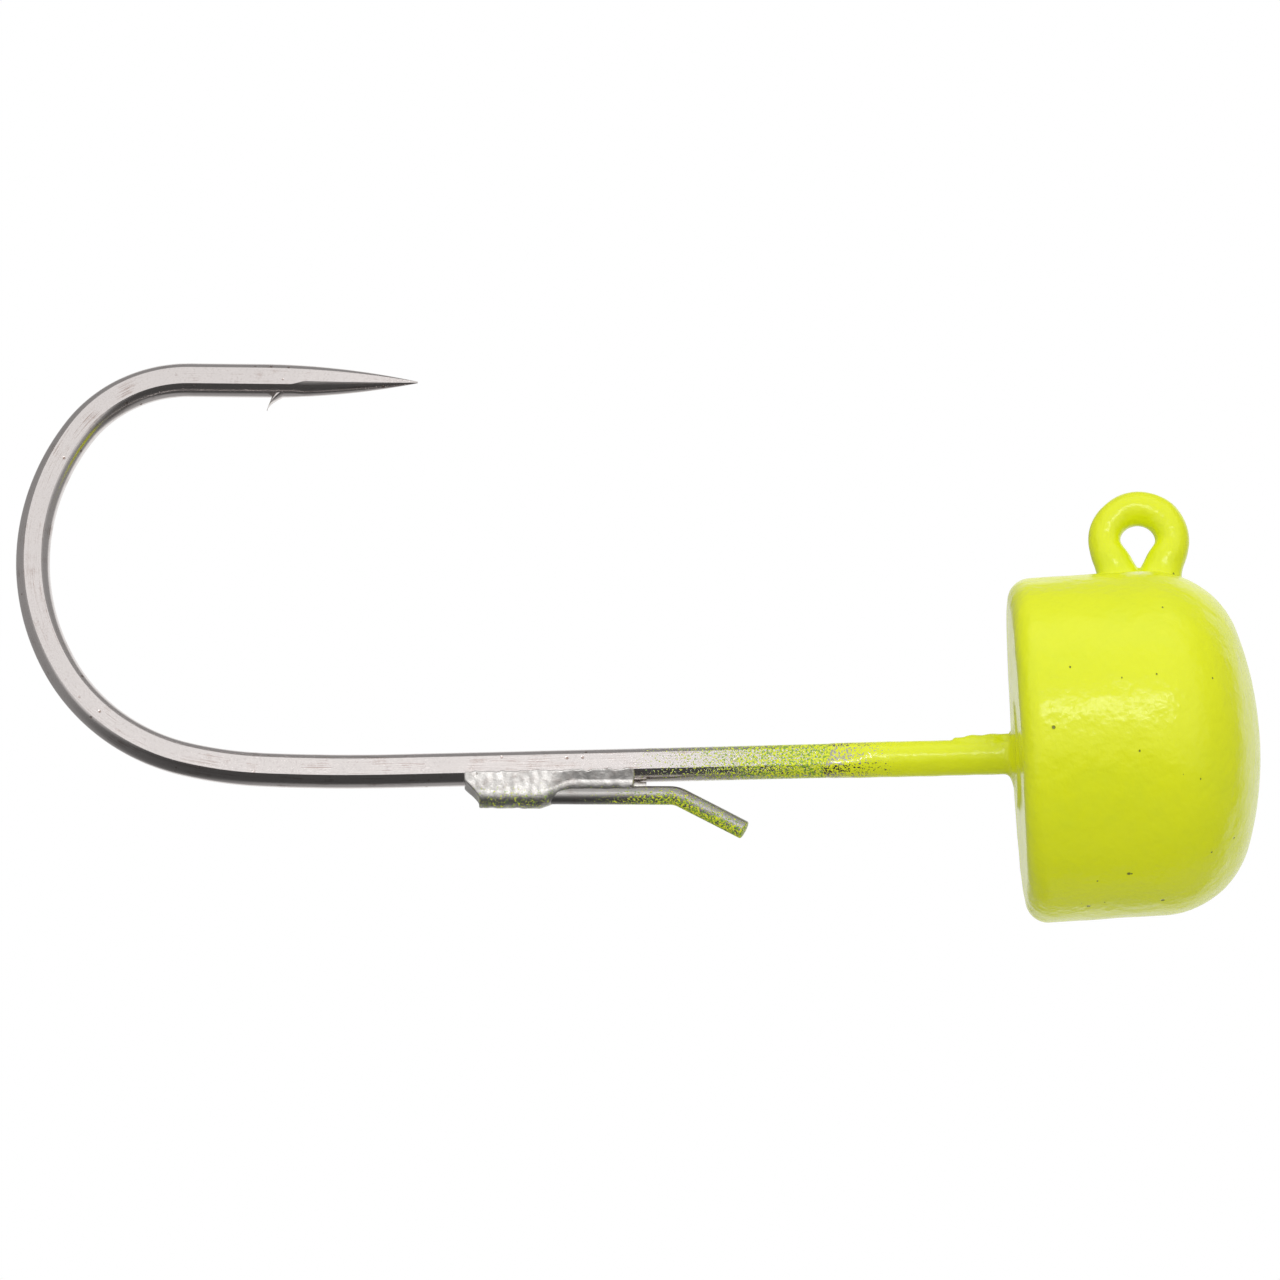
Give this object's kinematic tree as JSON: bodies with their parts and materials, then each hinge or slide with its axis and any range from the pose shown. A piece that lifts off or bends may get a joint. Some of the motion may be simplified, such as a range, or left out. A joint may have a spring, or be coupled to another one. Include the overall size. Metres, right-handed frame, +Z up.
{
  "type": "jig head",
  "caption": "Round lead jig head cast on a forged hook, with an upright line eye, a soldered wire bait keeper and a bright powder coat.",
  "frame": {"origin": "centre of the line eye's ring", "axes": "+X along the shank towards the head's nose; +Z up, the side of the eye and the hook point; Y across the hook, which is mirror symmetric in Y"},
  "size_m": [0.0366, 0.0102, 0.0179],
  "materials": {
    "hook_wire": "smooth bright plating over the forged wire",
    "lead": "dull as-cast lead, hidden under the coat",
    "keeper_steel": "bright drawn wire",
    "solder": "lumpy bright solder",
    "coat": "glossy fluorescent yellow-green powder coat"
  },
  "bodies": {
    "root": {"hook": "hook_wire", "head_casting": "lead", "keeper_wire": "keeper_steel", "solder_joint": "solder", "powder_coat": "coat"}
  },
  "joints": []
}
